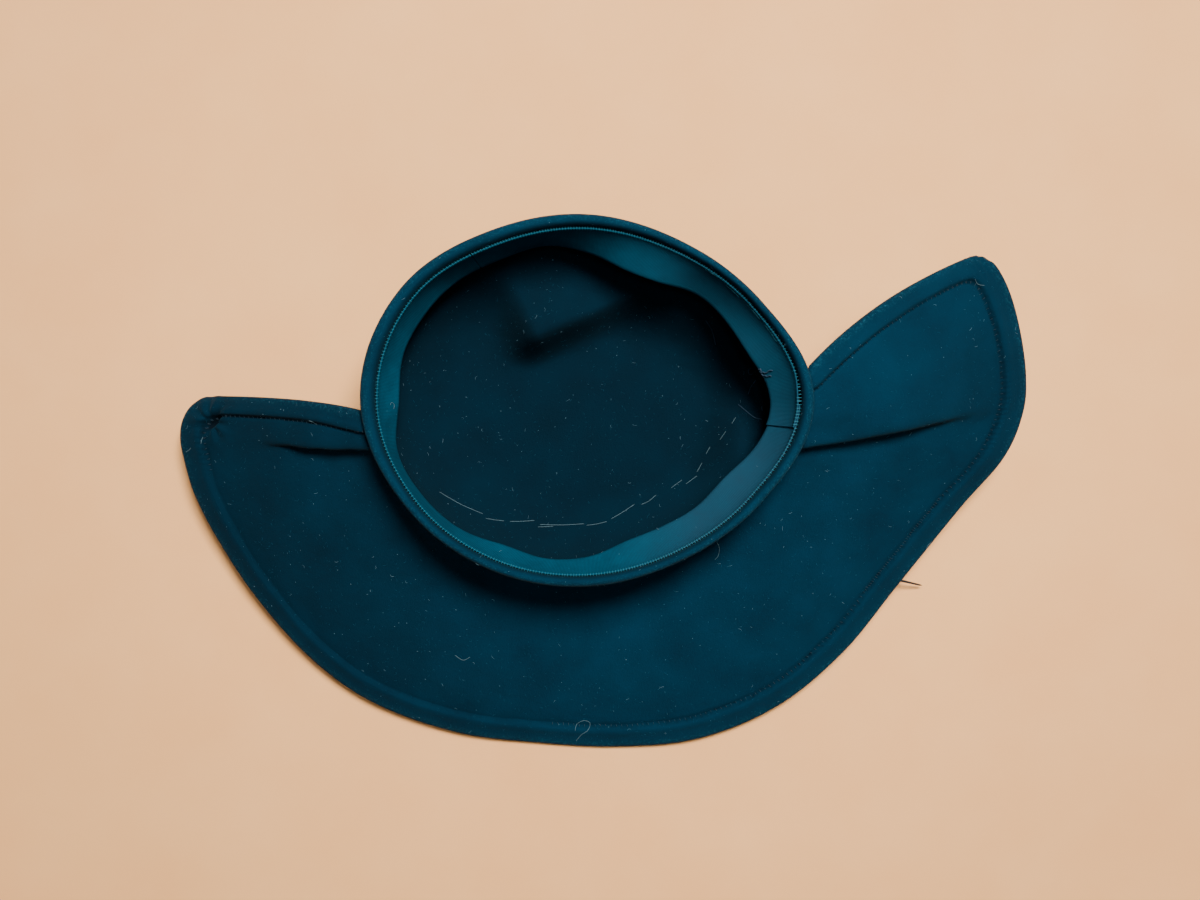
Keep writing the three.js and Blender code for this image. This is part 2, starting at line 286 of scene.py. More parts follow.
def smooth_at(values, position, closed):
    """A smooth curve through evenly spaced values."""
    whole = np.floor(position).astype(int)
    t = position - whole
    last = len(values) - 1

    def at(i):
        return values[i % len(values)] if closed else values[np.clip(i, 0, last)]

    a, b, c, d = at(whole - 1), at(whole), at(whole + 1), at(whole + 2)
    return b + 0.5 * t * (c - a + t * (2 * a - 5 * b + 4 * c - d + t * (3 * (b - c) + d - a)))


def around(values, degrees):
    return smooth_at(values, np.asarray(degrees, dtype=float) * len(values) / 360, True)


def along(values, station):
    return smooth_at(values, np.asarray(station, dtype=float), False)


def smoothstep(x, low, high):
    t = np.clip((x - low) / (high - low), 0, 1)
    return t * t * (3 - 2 * t)


def polar(degrees, radius, height):
    turn = np.radians(degrees)
    x = CROWN_X + radius * np.cos(turn)
    y = CROWN_Y + radius * np.sin(turn)
    return np.stack(np.broadcast_arrays(x, y, height), axis=-1)


def unit(vectors):
    return vectors / np.maximum(np.linalg.norm(vectors, axis=-1, keepdims=True), 1e-9)


def ripple(points, length, seed, waves=14):
    """A smooth random field from about -1 to 1 whose bumps are one length apart."""
    local = np.random.default_rng(seed)
    ways = unit(local.normal(size=(waves, 3))) * local.uniform(0.7, 1.4, size=(waves, 1))
    phases = local.uniform(0, 2 * math.pi, size=waves)
    turns = points @ ways.T * (2 * math.pi / length) + phases
    return np.sin(turns).sum(axis=-1) * math.sqrt(2 / waves) / 2


def wall_radius(degrees, height):
    drop = 1 - np.clip(height, 0, WALL_HEIGHT) / WALL_HEIGHT
    bend = np.sqrt(1 - drop * drop)
    return around(RIM["radius"], degrees) * (TIP_SHARE + (1 - TIP_SHARE) * bend)


def dented(points):
    """Raises the points of the crown where its tip is dented."""
    rise = np.zeros(points.shape[:-1])
    for dent in rows_of(DENTS):
        turn = math.radians(dent["turn"])
        x = points[..., 0] - CROWN_X - dent["x"]
        y = points[..., 1] - CROWN_Y - dent["y"]
        length = x * math.cos(turn) + y * math.sin(turn)
        width = y * math.cos(turn) - x * math.sin(turn)
        reach = np.where(length < 0, dent["before"], dent["after"])
        spread = np.where(width < 0, dent["below"], dent["above"])
        rise += dent["rise"] * np.exp(-((length / reach) ** 2) - (width / spread) ** 2)
    moved = points.copy()
    moved[..., 2] += rise * (1 - smoothstep(points[..., 2], *DENT_FADE))
    return moved


def crown_rings():
    """The crown's rings from outside its tip, over the rim, to inside its tip.

    The second result says how far in each ring is: 0 outside, 1 at the ribbon and 2 inside.
    """
    angles = np.arange(CROWN_SIDES) * 360 / CROWN_SIDES
    rim = around(RIM["radius"], angles)
    width = around(RIM["width"], angles)
    tip = rim * TIP_SHARE
    flat = np.linspace(0, 1, TIP_RINGS + 1)[1:]
    rings = [(tip * share, 0 * rim) for share in flat]

    def bend(radius, base, degrees):
        turn = math.radians(degrees)
        height = base + (WALL_HEIGHT - base) * (1 - math.cos(turn))
        return tip + (radius - tip) * math.sin(turn), height + 0 * rim

    rings += [bend(rim, 0, degrees) for degrees in np.linspace(0, 90, WALL_RINGS + 1)[1:]]
    roll_start = len(rings)
    for share in np.linspace(0, 1, ROLL_RINGS + 1)[1:]:
        turn = math.pi * share ** ROLL_SKEW
        radius = rim - width / 2 * (1 - math.cos(turn))
        sink = SEAM_SINK * smoothstep(share, 0.5, 1)
        rings.append((radius, WALL_HEIGHT + RIM_ROLL * math.sin(turn) - sink + 0 * rim))
    roll_end = len(rings)
    low = bend(rim - FELT, FELT, INNER_TOP_TURN)
    for share in np.linspace(0, 1, INNER_RINGS + 1)[1:-1]:
        fall = SEAM_SINK + (RIM_FOLD_DEPTH - SEAM_SINK) * share
        ease = smoothstep(share, 0.3, 1)
        radius = (rim - width) * (1 - ease) + low[0] * ease
        rings.append((radius, WALL_HEIGHT - fall - ease * (WALL_HEIGHT - RIM_FOLD_DEPTH - low[1])))
    turns = np.linspace(INNER_TOP_TURN, 0, LINING_RINGS)
    rings += [bend(rim - FELT, FELT, degrees) for degrees in turns]
    rings += [(tip * share, FELT + 0 * rim) for share in flat[::-1][1:]]
    inner_end = roll_end + INNER_RINGS + 1
    inwards = np.interp(np.arange(len(rings)), [roll_start, roll_end, inner_end], [0, 1, 2])
    return dented(np.array([polar(angles, *ring) for ring in rings])), inwards


def ribbon_point(degrees, across):
    reach = around(LEAN["reach"], degrees)
    drop = np.sqrt(RIBBON_WIDTH ** 2 - reach ** 2)
    inset = around(RIM["width"], degrees) + SEAM_GAP + RIBBON_THICKNESS / 2
    radius = around(RIM["radius"], degrees) - inset - reach * across ** RIBBON_CURL
    return polar(degrees, radius, RIBBON_TOP - drop * across)


def add_folds(points, sideways, station, share):
    for fold in rows_of(FOLDS):
        across = (station - fold["station"] - fold["drift"] * share) / fold["width"]
        fade = 1 - smoothstep(share, FOLD_WHOLE * fold["reach"], fold["reach"])
        levelling = np.exp(-((across / FOLD_SPREAD) ** 2))
        step = np.tanh(FOLD_SHARPNESS * across) * levelling
        lap = -LAP_PEAK * across * np.exp(-(across ** 2))
        grown = FOLD_START + (1 - FOLD_START) * smoothstep(share, *FOLD_GROWTH)
        points[..., 2] += 0.5 * fold["drop"] * fold["high"] * step * grown * fade
        points += sideways * (fold["overhang"] * lap * fade)[..., None]


def brim_point(station, share):
    """Points on the middle of the brim: share runs from the crown to the outer edge."""
    at = {name: along(values, station) for name, values in BRIM.items()}
    inner = polar(at["angle"], wall_radius(at["angle"], at["root"]) - BRIM_SINK, at["root"])
    outer = np.stack([at["x"], at["y"], at["z"]], axis=-1)
    run = outer - inner
    length = np.linalg.norm(run, axis=-1)
    points = inner + run * (share * (1 - BRIM_EDGE / length))[..., None]
    sideways = unit(np.stack([-run[..., 1], run[..., 0], 0 * length], axis=-1))
    arch = 4 * share * (1 - share)
    points = points + sideways * (at["swing"] * arch)[..., None]
    points[..., 2] += at["bow"] * arch
    add_folds(points, sideways, station, share)
    return points


def grid_normals(grid):
    """Upward normals of a grid whose rows run along the sheet and columns across it."""
    down = np.gradient(grid, axis=0)
    across = np.gradient(grid, axis=1)
    return unit(np.cross(across, down))


def clear_of_crown(points):
    moved = points.copy()
    x = points[..., 0] - CROWN_X
    y = points[..., 1] - CROWN_Y
    least = wall_radius(np.degrees(np.arctan2(y, x)), points[..., 2]) - BRIM_SINK
    push = np.maximum(1, least / np.hypot(x, y))
    moved[..., 0] = CROWN_X + x * push
    moved[..., 1] = CROWN_Y + y * push
    return moved


def mesh_object(name, points, faces, body="root"):
    mesh = bpy.data.meshes.new(name)
    mesh.from_pydata((np.asarray(points) * MM).tolist(), [], faces)
    mesh.update()
    mesh.shade_smooth()
    made = bpy.data.objects.new(name, mesh)
    bpy.context.collection.objects.link(made)
    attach(made, body)
    return made


def write_map(made, name, values):
    """Stores a pair of values at each vertex as a texture map; vertices past the list get zeros."""
    padded = np.zeros((len(made.data.vertices), 2))
    padded[:len(values)] = values
    corners = np.empty(len(made.data.loops), dtype=int)
    made.data.loops.foreach_get("vertex_index", corners)
    layer = made.data.uv_layers.new(name=name)
    layer.data.foreach_set("uv", (padded[corners] * MAP_SCALE).ravel())


def quads(first, second, closed):
    """Faces between two equal rows of vertex numbers."""
    if closed:
        first, second = np.append(first, first[0]), np.append(second, second[0])
    return np.stack([first[:-1], first[1:], second[1:], second[:-1]], axis=-1).tolist()


def skinned(name, rings, start, end):
    """A closed body skinned over rings of points, between two end points."""
    count, sides = rings.shape[:2]
    points = np.concatenate([[start], rings.reshape(-1, 3), [end]])
    index = 1 + np.arange(count * sides).reshape(count, sides)
    faces = []
    for first, second in zip(index[:-1], index[1:]):
        faces += quads(first, second, True)
    last = len(points) - 1
    faces += [[0, b, a] for a, b in zip(index[0], np.roll(index[0], -1))]
    faces += [[last, a, b] for a, b in zip(index[-1], np.roll(index[-1], -1))]
    return mesh_object(name, points, faces)


def closed_sheet(name, upper, lower, edge_steps=4, flush=False):
    """A closed sheet from an upper and a lower grid, with a rounded edge all round."""
    rows, columns = upper.shape[:2]
    index = np.arange(rows * columns).reshape(rows, columns)
    under = index + rows * columns
    faces = []
    for i in range(rows - 1):
        faces += quads(index[i], index[i + 1], False)
        faces += quads(under[i + 1], under[i], False)
    border = [(0, j) for j in range(columns - 1)]
    border += [(i, columns - 1) for i in range(rows - 1)]
    border += [(rows - 1, j) for j in range(columns - 1, 0, -1)]
    border += [(i, 0) for i in range(rows - 1, 0, -1)]
    ij = np.array(border)
    top, bottom = upper[ij[:, 0], ij[:, 1]], lower[ij[:, 0], ij[:, 1]]
    within = np.stack([np.clip(ij[:, 0], 1, rows - 2), np.clip(ij[:, 1], 1, columns - 2)], axis=-1)
    inner = (upper[within[:, 0], within[:, 1]] + lower[within[:, 0], within[:, 1]]) / 2
    middle = (top + bottom) / 2
    half = (top - bottom) / 2
    reach = np.linalg.norm(half, axis=-1, keepdims=True)
    if flush:
        reach[ij[:, 1] == 0] = 0
    out = unit(middle - inner) * reach
    points = [upper.reshape(-1, 3), lower.reshape(-1, 3)]
    last = index[ij[:, 0], ij[:, 1]]
    base = 2 * rows * columns
    for step in range(1, edge_steps):
        turn = math.pi * step / edge_steps
        points.append(middle + half * math.cos(turn) + out * math.sin(turn))
        row = base + np.arange(len(border))
        base += len(border)
        faces += quads(row, last, True)
        last = row
    faces += quads(under[ij[:, 0], ij[:, 1]], last, True)
    return mesh_object(name, np.concatenate(points), faces)


def brim_grid():
    """Stations and shares of the fine brim, closer together at the folds and the turned edge."""
    even = np.linspace(0, LAST_STATION, COLUMN_PLACES)
    weight = np.ones_like(even)
    for fold in rows_of(FOLDS):
        middle = fold["station"] + fold["drift"] / 2
        away = (even - middle) / (FOLD_REACH * fold["width"])
        weight += FOLD_CROWDING * np.exp(-(away ** 2))
    total = np.concatenate([[0], np.cumsum((weight[1:] + weight[:-1]) / 2)])
    stations = np.interp(np.linspace(0, total[-1], BRIM_COLUMNS), total, even)
    run = brim_point(stations, 0 * stations + 1) - brim_point(stations, 0 * stations)
    length = np.linalg.norm(run, axis=-1)
    inner_rows = BRIM_ROWS - EDGE_ROWS
    edge = EDGE_ZONE * (1 - np.linspace(0, 1, EDGE_ROWS))
    shares = np.empty((BRIM_COLUMNS, BRIM_ROWS))
    for i, reach in enumerate(length):
        start = 1 - EDGE_ZONE / reach
        inner = np.linspace(0, start, inner_rows, endpoint=False)
        shares[i] = np.concatenate([inner, 1 - edge / reach])
    return np.repeat(stations[:, None], BRIM_ROWS, axis=1), shares


def turned_edge(grid, station):
    """Distance from the nearest edge, scaled to one hem width, and the run along that edge."""
    steps = np.linalg.norm(np.diff(grid, axis=1), axis=-1)
    to_edge = np.concatenate([np.cumsum(steps[:, ::-1], axis=1)[:, ::-1], 0 * steps[:, :1]], axis=1)
    edge = np.linalg.norm(np.diff(grid[:, -1], axis=0), axis=-1)
    run = np.concatenate([[0], np.cumsum(edge)])
    distance = to_edge / along(BRIM["hem"], station)
    along_edge = np.broadcast_to(run[:, None], distance.shape).copy()
    ends = ((0, slice(0, HEM_END_COLUMNS)), (-1, slice(-HEM_END_COLUMNS, None)))
    for row, block in ends:
        gaps = np.linalg.norm(grid[block][:, :, None] - grid[row][None, None], axis=-1)
        away = gaps.min(axis=-1) / HEM_END_WIDTH
        nearer = away < distance[block]
        rounding = HEM_ROUNDING / HEM_SCALE
        both = np.exp(-away / rounding) + np.exp(-distance[block] / rounding)
        distance[block] = np.maximum(-rounding * np.log(both), 0)
        along_edge[block] = np.where(nearer, run[row] - to_edge[block], along_edge[block])
    return distance * HEM_SCALE, along_edge


def sewn_tightness(points):
    """How tightly the turned edge is sewn: slack round the lower left, tight elsewhere."""
    return np.maximum(smoothstep(points[..., 0], *SLACK_X), smoothstep(points[..., 1], *SLACK_Y))


def hem_height(points, distance, run):
    """Extra height of the turned edge, with the pits its stitches pull in."""
    tight = SLACK_SHARE + (1 - SLACK_SHARE) * sewn_tightness(points)
    turned = HEM_THICKNESS * (1 - smoothstep(distance, HEM_SCALE - HEM_STEP, HEM_SCALE))
    valley = VALLEY_DEPTH * tight * np.exp(-(((distance - HEM_SCALE - 0.2) / 0.9) ** 2))
    crest = CREST_HEIGHT * np.exp(-(((distance - HEM_SCALE + 2.6) / 1.6) ** 2))
    pits = 0.5 + 0.5 * np.cos(2 * math.pi * run / STITCH_PITCH)
    pulled = PIT_DEPTH * tight * pits * np.exp(-(((distance - HEM_SCALE + 0.6) / 1.3) ** 2))
    return turned - valley + crest - pulled


def pucker_depth(points):
    """The hole that the hand stitches pull in near the left tip, and the pleats round it."""
    turn = math.radians(PUCKER_TURN)
    x = points[..., 0] - PUCKER[0]
    y = points[..., 1] - PUCKER[1]
    length = x * math.cos(turn) + y * math.sin(turn)
    width = y * math.cos(turn) - x * math.sin(turn)
    hole = np.exp(-((length / PUCKER_HALF[0]) ** 2) - (width / PUCKER_HALF[1]) ** 2)
    away = np.hypot(x, y)
    window = smoothstep(away, 1.5, 4) * (1 - smoothstep(away, PLEAT_REACH * 0.6, PLEAT_REACH * 1.4))
    pleats = np.cos(PLEATS * np.arctan2(width, length)) * window
    corner = np.hypot(points[..., 0] - CORNER_PLEAT[0], points[..., 1] - CORNER_PLEAT[1])
    ridge = np.sin((points[..., 0] + 0.6 * points[..., 1]) * 1.9) * np.exp(-((corner / 5) ** 2))
    depth = PUCKER_DEPTH * hole + PLEAT_DEPTH * pleats + CORNER_PLEAT_DEPTH * ridge
    return depth, hole


def build_crown():
    rings, inwards = crown_rings()
    unevenness = 0.22 * ripple(rings, 21, 8) + 0.1 * ripple(rings, 7, 9)
    rings = rings + [0, 0, 1] * (unevenness * (rings[..., 2] > FELT + 1))[..., None]
    tip = dented(polar(0, 0, 0)[None])[0]
    inside = dented(polar(0, 0, FELT)[None])[0]
    crown = skinned("crown_felt", rings, tip, inside)
    depth = np.repeat(inwards, CROWN_SIDES)
    flat = np.stack([0 * depth, depth], axis=-1)
    write_map(crown, "edge", np.concatenate([[[0, 0]], flat, [[0, 2]]]))
    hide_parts("crown")
    return crown


def build_brim():
    station, share = brim_grid()
    grid = brim_point(station, share)
    normals = grid_normals(grid)
    distance, run = turned_edge(grid, station)
    soft = 0.2 * ripple(grid, 17, 3) + 0.08 * ripple(grid, 6, 4)
    soft *= smoothstep(share, 0, 0.1) * smoothstep(distance, 0, HEM_SCALE)
    depth, hole = pucker_depth(grid)
    raised = FELT / 2 + hem_height(grid, distance, run) + soft - depth
    upper = grid + normals * raised[..., None]
    lower = grid - normals * (FELT / 2 + 0.6 * depth.clip(0))[..., None]
    brim = closed_sheet("brim_felt", clear_of_crown(upper), clear_of_crown(lower), 6, True)
    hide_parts("brim")
    flat = np.stack([run, distance], axis=-1).reshape(-1, 2)
    write_map(brim, "edge", np.concatenate([flat, flat + [0, 2 * HEM_SCALE]]))
    # The pucker's hole, kept as a map for the painted shade that the brim's material puts in it
    pit = np.stack([hole, hole], axis=-1).reshape(-1, 2)
    write_map(brim, "pucker", np.concatenate([pit, pit]))
    return brim, upper, distance


def build_ribbon(name, node, start, end, lift_at):
    """A ribbed ribbon between two angles, lifted off the crown wall where it laps."""
    arc = math.radians(end - start) * MEAN_RIBBON_RADIUS
    columns = int(arc / RIB_PITCH * COLUMNS_A_RIB)
    degrees = np.linspace(start, end, columns)[:, None]
    across = np.linspace(0, 1, RIBBON_ROWS)[None, :]
    grid = ribbon_point(*np.broadcast_arrays(degrees, across))
    run = np.cumsum(np.linalg.norm(np.diff(grid[:, 0], axis=0, prepend=grid[:1, 0]), axis=-1))
    rib = np.cos(2 * math.pi * run / RIB_PITCH)[:, None]
    normals = grid_normals(grid)
    down = unit(np.gradient(grid, axis=1))
    grid = grid + down * (PICOT_REACH * rib * smoothstep(across, 0.9, 1))[..., None]
    depth = RIB_DEPTH * rib - lift_at(degrees)
    upper = grid + normals * (RIBBON_THICKNESS / 2 + depth)[..., None]
    lower = grid + normals * (depth - RIBBON_THICKNESS / 2)[..., None]
    ribbon = closed_sheet(name, upper, lower, 2)
    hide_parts(node)
    flat = np.stack(np.broadcast_arrays(run[:, None], across * RIBBON_WIDTH), axis=-1).reshape(-1, 2)
    write_map(ribbon, "edge", np.concatenate([flat, flat]))
    return ribbon


def flat_lift(degrees):
    return 0 * degrees


def short_lift(degrees):
    return LAP_LIFT * (1 - smoothstep(degrees, *LAP_SLOPE))


def under_brim(station, share, depth):
    step = 0.02
    side = brim_point(station + step, share) - brim_point(station - step, share)
    out = brim_point(station, share) - brim_point(station, share - step)
    return brim_point(station, share) - unit(np.cross(out, side)) * depth


def tube_rings(route, radii, sides):
    """Rings round a route of points, each square to it."""
    heading = unit(np.gradient(route, axis=0))
    level = np.broadcast_to([0.0, 0.0, 1.0], heading.shape)
    upright = np.abs(heading[:, 2:]) > 0.95
    level = np.where(upright, [1.0, 0.0, 0.0], level)
    side = unit(np.cross(level, heading))
    up = np.cross(heading, side)
    turns = np.arange(sides) * 2 * math.pi / sides
    circle = side[:, None] * np.cos(turns)[:, None] + up[:, None] * np.sin(turns)[:, None]
    return route[:, None] + circle * np.asarray(radii)[:, None, None]


def build_quill():
    depth = FELT / 2 + QUILL_GAP + QUILL_ROOT_RADIUS
    part = np.linspace(0, 1, 24)
    hidden = under_brim(
        QUILL_ROOT[0] + (QUILL_EXIT[0] - QUILL_ROOT[0]) * part,
        QUILL_ROOT[1] + (QUILL_EXIT[1] - QUILL_ROOT[1]) * part,
        depth,
    )
    heading = unit(hidden[-1] - hidden[-2])
    distance = np.linspace(0, QUILL_SHOWING + BRIM_EDGE, 14)[1:]
    shown = hidden[-1] + heading * distance[:, None]
    route = np.concatenate([hidden, shown])
    run = np.linspace(0, 1, len(route))
    radii = QUILL_ROOT_RADIUS + (QUILL_TIP_RADIUS - QUILL_ROOT_RADIUS) * run
    rings = tube_rings(route, radii, 16)
    quill = skinned("quill_shaft", rings[1:-1], route[0], route[-1])
    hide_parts("quill")
    return quill


def strands(name, routes, radii, sides=5):
    """Many thin tubes as one object, each along its own route of points."""
    points, faces, base = [], [], 0
    for route, radius in zip(routes, radii):
        route = np.asarray(route, dtype=float)
        taper = np.full(len(route), radius)
        taper[[0, -1]] *= 0.6
        rings = tube_rings(route, taper, sides)
        count = len(route)
        index = base + np.arange(count * sides).reshape(count, sides)
        for first, second in zip(index[:-1], index[1:]):
            faces += quads(first, second, True)
        faces += [index[0][::-1].tolist(), index[-1].tolist()]
        points.append(rings.reshape(-1, 3))
        base += count * sides
    return mesh_object(name, np.concatenate(points), faces)


def surface_tree(*pieces):
    """A tree of the faces of some pieces, to find what a ray meets."""
    points, faces, base = [], [], 0
    for piece in pieces:
        mesh = piece.data
        places = np.empty(len(mesh.vertices) * 3)
        mesh.vertices.foreach_get("co", places)
        points += places.reshape(-1, 3).tolist()
        faces += [[base + i for i in polygon.vertices] for polygon in mesh.polygons]
        base += len(mesh.vertices)
    return BVHTree.FromPolygons(points, faces)


def under_pixel(tree, pixel, lift):
    """The point a little above the surface that a pixel of the photograph shows, if there is one."""
    eye = Vector(CAMERA)
    x = CAMERA[0] + (pixel[0] - PICTURE[0] / 2) * PIXEL
    y = CAMERA[1] - (pixel[1] - PICTURE[1] / 2) * PIXEL
    place, normal, _, _ = tree.ray_cast(eye * MM, (Vector((x, y, 0)) - eye).normalized())
    if place is None:
        return None
    if normal.z < 0:
        normal = -normal
    return np.array(place / MM + normal * lift)


def eased(points, steps):
    """A smooth curve through a short list of points."""
    points = np.asarray(points, dtype=float)
    position = np.linspace(0, len(points) - 1, steps)
    return np.stack([along(values, position) for values in points.T], axis=-1)


def unbroken(places):
    """The longest stretch of a thread that doesn't drop from one piece to another."""
    heights = np.array([place[2] for place in places])
    breaks = np.flatnonzero(np.abs(np.diff(heights)) > THREAD_DROP) + 1
    ends = [0, *breaks.tolist(), len(places)]
    stretches = [places[first:last] for first, last in zip(ends, ends[1:])]
    return max(stretches, key=len)


def seen_threads(tree, drawn, radius, lift):
    """Threads laid where short lists of pixels show them."""
    routes = []
    for pixels in drawn:
        curve = eased(pixels, 5 * len(pixels))
        places = [under_pixel(tree, pixel, lift) for pixel in curve]
        routes.append(unbroken([place for place in places if place is not None]))
    return routes, [radius] * len(routes)


def even_steps(route, pitch):
    """Points a pitch apart along a route, with the way it runs at each."""
    steps = np.linalg.norm(np.diff(route, axis=0), axis=-1)
    run = np.concatenate([[0], np.cumsum(steps)])
    at = np.arange(pitch / 2, run[-1], pitch)
    places = np.stack([np.interp(at, run, route[:, k]) for k in range(3)], axis=-1)
    return places, unit(np.gradient(places, axis=0))


def hem_line(upper, distance):
    """The sewn line round the brim's turned edge, as a route of points on its upper side."""

    def cross(points, values):
        k = int(np.argmax(values > HEM_LINE)) if values[0] < HEM_LINE else -1
        if k < 1:
            return None
        share = (HEM_LINE - values[k - 1]) / (values[k] - values[k - 1])
        return points[k - 1] * (1 - share) + points[k] * share

    across = [cross(upper[i, ::-1], distance[i, ::-1]) for i in range(len(upper))]
    middle = len(upper) // 2
    first = [cross(upper[:middle, j], distance[:middle, j]) for j in range(upper.shape[1])]
    last = [cross(upper[:middle:-1, j], distance[:middle:-1, j]) for j in range(upper.shape[1])]
    route = first + across + last[::-1]
    return np.array([point for point in route if point is not None])


def build_hem_stitches(upper, distance):
    """Short hand stitches over the cut edge of the turned felt."""
    places, heading = even_steps(hem_line(upper, distance), STITCH_PITCH)
    out = np.cross(heading, [0.0, 0.0, 1.0])
    local = np.random.default_rng(21)
    routes = []
    for place, way, side in zip(places, heading, out):
        slant = way * local.normal(0.25, 0.15)
        reach = local.uniform(0.45, 0.75)
        if sewn_tightness(place) < SLACKEST_STITCH:
            continue
        low = place - (side + slant) * reach - [0, 0, 0.1]
        high = place + (side + slant) * reach + [0, 0, HEM_THICKNESS * 0.35]
        crown_of_stitch = (low + high) / 2 + [0, 0, 0.3]
        routes.append(eased([low, crown_of_stitch, high], 4))
    return strands("hem_stitches", routes, [STITCH_RADIUS] * len(routes))


def build_ribbon_stitches():
    """Small stitches that hold the top edge of the ribbon to the folded rim."""
    local = np.random.default_rng(22)
    degrees = np.arange(0, 360, RIBBON_STITCH_STEP)
    degrees = degrees + local.normal(0, 0.06, len(degrees))
    top = ribbon_point(degrees, 0 * degrees)
    below = ribbon_point(degrees, 0 * degrees + 0.07)
    inward = unit(np.array([CROWN_X, CROWN_Y, RIBBON_TOP]) - top)
    routes = []
    for i in range(len(degrees)):
        lap = LAP_LIFT if degrees[i] > LAPPED[0] or degrees[i] < LAPPED[1] else 0
        face = RIBBON_THICKNESS / 2 + 0.12 + lap
        low = below[i] + inward[i] * face + [0, 0, local.uniform(-0.2, 0.3)]
        over = top[i] + inward[i] * (face - 0.1) + [0, 0, 0.3]
        rim = top[i] - inward[i] * 0.75 + [0, 0, 0.45]
        routes.append(eased([low, over, rim], 5))
    return strands("ribbon_stitches", routes, [RIBBON_STITCH_RADIUS] * len(routes))


def scatter(pieces, count, seed):
    """Random places on the faces of some pieces, with their normals."""
    local = np.random.default_rng(seed)
    centres, normals, areas = [], [], []
    for piece in pieces:
        polygons = piece.data.polygons
        found = [np.empty(len(polygons) * 3), np.empty(len(polygons) * 3), np.empty(len(polygons))]
        polygons.foreach_get("center", found[0])
        polygons.foreach_get("normal", found[1])
        polygons.foreach_get("area", found[2])
        centres.append(found[0].reshape(-1, 3) / MM)
        normals.append(found[1].reshape(-1, 3))
        areas.append(found[2])
    centres, normals, areas = (np.concatenate(group) for group in (centres, normals, areas))
    areas = areas * (centres[:, 2] > LOWEST_FIBRE)
    chosen = local.choice(len(areas), size=count, p=areas / areas.sum())
    return centres[chosen], normals[chosen], local


def build_fibres(name, pieces, count, seed, length, radius, stand, curl):
    """Loose felt fibres that lie on or stand out of the surface."""
    centres, normals, local = scatter(pieces, count, seed)
    routes, radii = [], []
    for centre, normal in zip(centres, normals):
        way = unit(np.cross(normal, local.normal(size=3)))
        side = np.cross(normal, way)
        reach = local.uniform(*length)
        turn = local.normal(0, curl)
        angles = turn * np.linspace(0, 1, 5)
        steps = (way * np.cos(angles)[:, None] + side * np.sin(angles)[:, None]) * reach / 4
        route = centre + np.cumsum(steps, axis=0)
        lift = local.uniform(*stand) * np.linspace(0, 1, 5) ** 1.5 + radius * 0.6
        routes.append(route + normal * lift[:, None])
        radii.append(radius * local.uniform(0.7, 1.3))
    return strands(name, routes, radii, 3)


def add_camera():
    camera = bpy.data.objects.new("camera", bpy.data.cameras.new("camera"))
    camera.location = Vector(CAMERA) * MM
    camera.data.sensor_fit = "HORIZONTAL"
    camera.data.sensor_width = SENSOR
    camera.data.lens = SENSOR * CAMERA[2] / (PICTURE[0] * PIXEL)
    camera.data.clip_start = 0.01
    bpy.context.collection.objects.link(camera)
    bpy.context.scene.camera = camera


def add_key_light():
    """A soft lamp high behind the hat, towards the open back of the crown."""
    light = bpy.data.lights.new("key", "AREA")
    light.shape = "DISK"
    light.size = KEY_SIZE
    light.energy = KEY_POWER
    light.color = KEY_COLOUR
    made = bpy.data.objects.new("key", light)
    made.location = KEY_PLACE
    aim = Vector(KEY_TARGET) - Vector(KEY_PLACE)
    made.rotation_euler = aim.to_track_quat("-Z", "Y").to_euler()
    bpy.context.collection.objects.link(made)


def add_top_light():
    """A soft spot from straight above that opens up the head hollow."""
    light = bpy.data.lights.new("top", "SPOT")
    light.energy = TOP_POWER
    light.spot_size = math.radians(TOP_CONE)
    light.spot_blend = TOP_BLEND
    light.shadow_soft_size = TOP_RADIUS
    made = bpy.data.objects.new("top", light)
    made.location = TOP_PLACE
    bpy.context.collection.objects.link(made)


def studio_world():
    """A dim room with a paler backdrop low down all round."""
    world = bpy.data.worlds.new("studio")
    world.use_nodes = True
    tree = world.node_tree
    background = tree.nodes["Background"]
    background.inputs["Color"].default_value = (*ROOM_COLOUR, 1)
    parts = tree.nodes.new("ShaderNodeSeparateXYZ")
    tree.links.new(tree.nodes.new("ShaderNodeTexCoord").outputs["Generated"], parts.inputs[0])
    fade = tree.nodes.new("ShaderNodeMapRange")
    fade.inputs["From Min"].default_value = BACKDROP_TOP[0]
    fade.inputs["From Max"].default_value = BACKDROP_TOP[1]
    fade.inputs["To Min"].default_value = BACKDROP_STRENGTH
    fade.inputs["To Max"].default_value = ROOM_STRENGTH
    tree.links.new(parts.outputs["Z"], fade.inputs["Value"])
    tree.links.new(fade.outputs["Result"], background.inputs["Strength"])
    return world


def add_floor():
    mesh = bpy.data.meshes.new("floor")
    signs = ((-1, -1), (1, -1), (1, 1), (-1, 1))
    corners = [(x * FLOOR_HALF, y * FLOOR_HALF, 0) for x, y in signs]
    mesh.from_pydata(corners, [], [(0, 1, 2, 3)])
    floor = bpy.data.objects.new("floor", mesh)
    bpy.context.collection.objects.link(floor)
    return floor


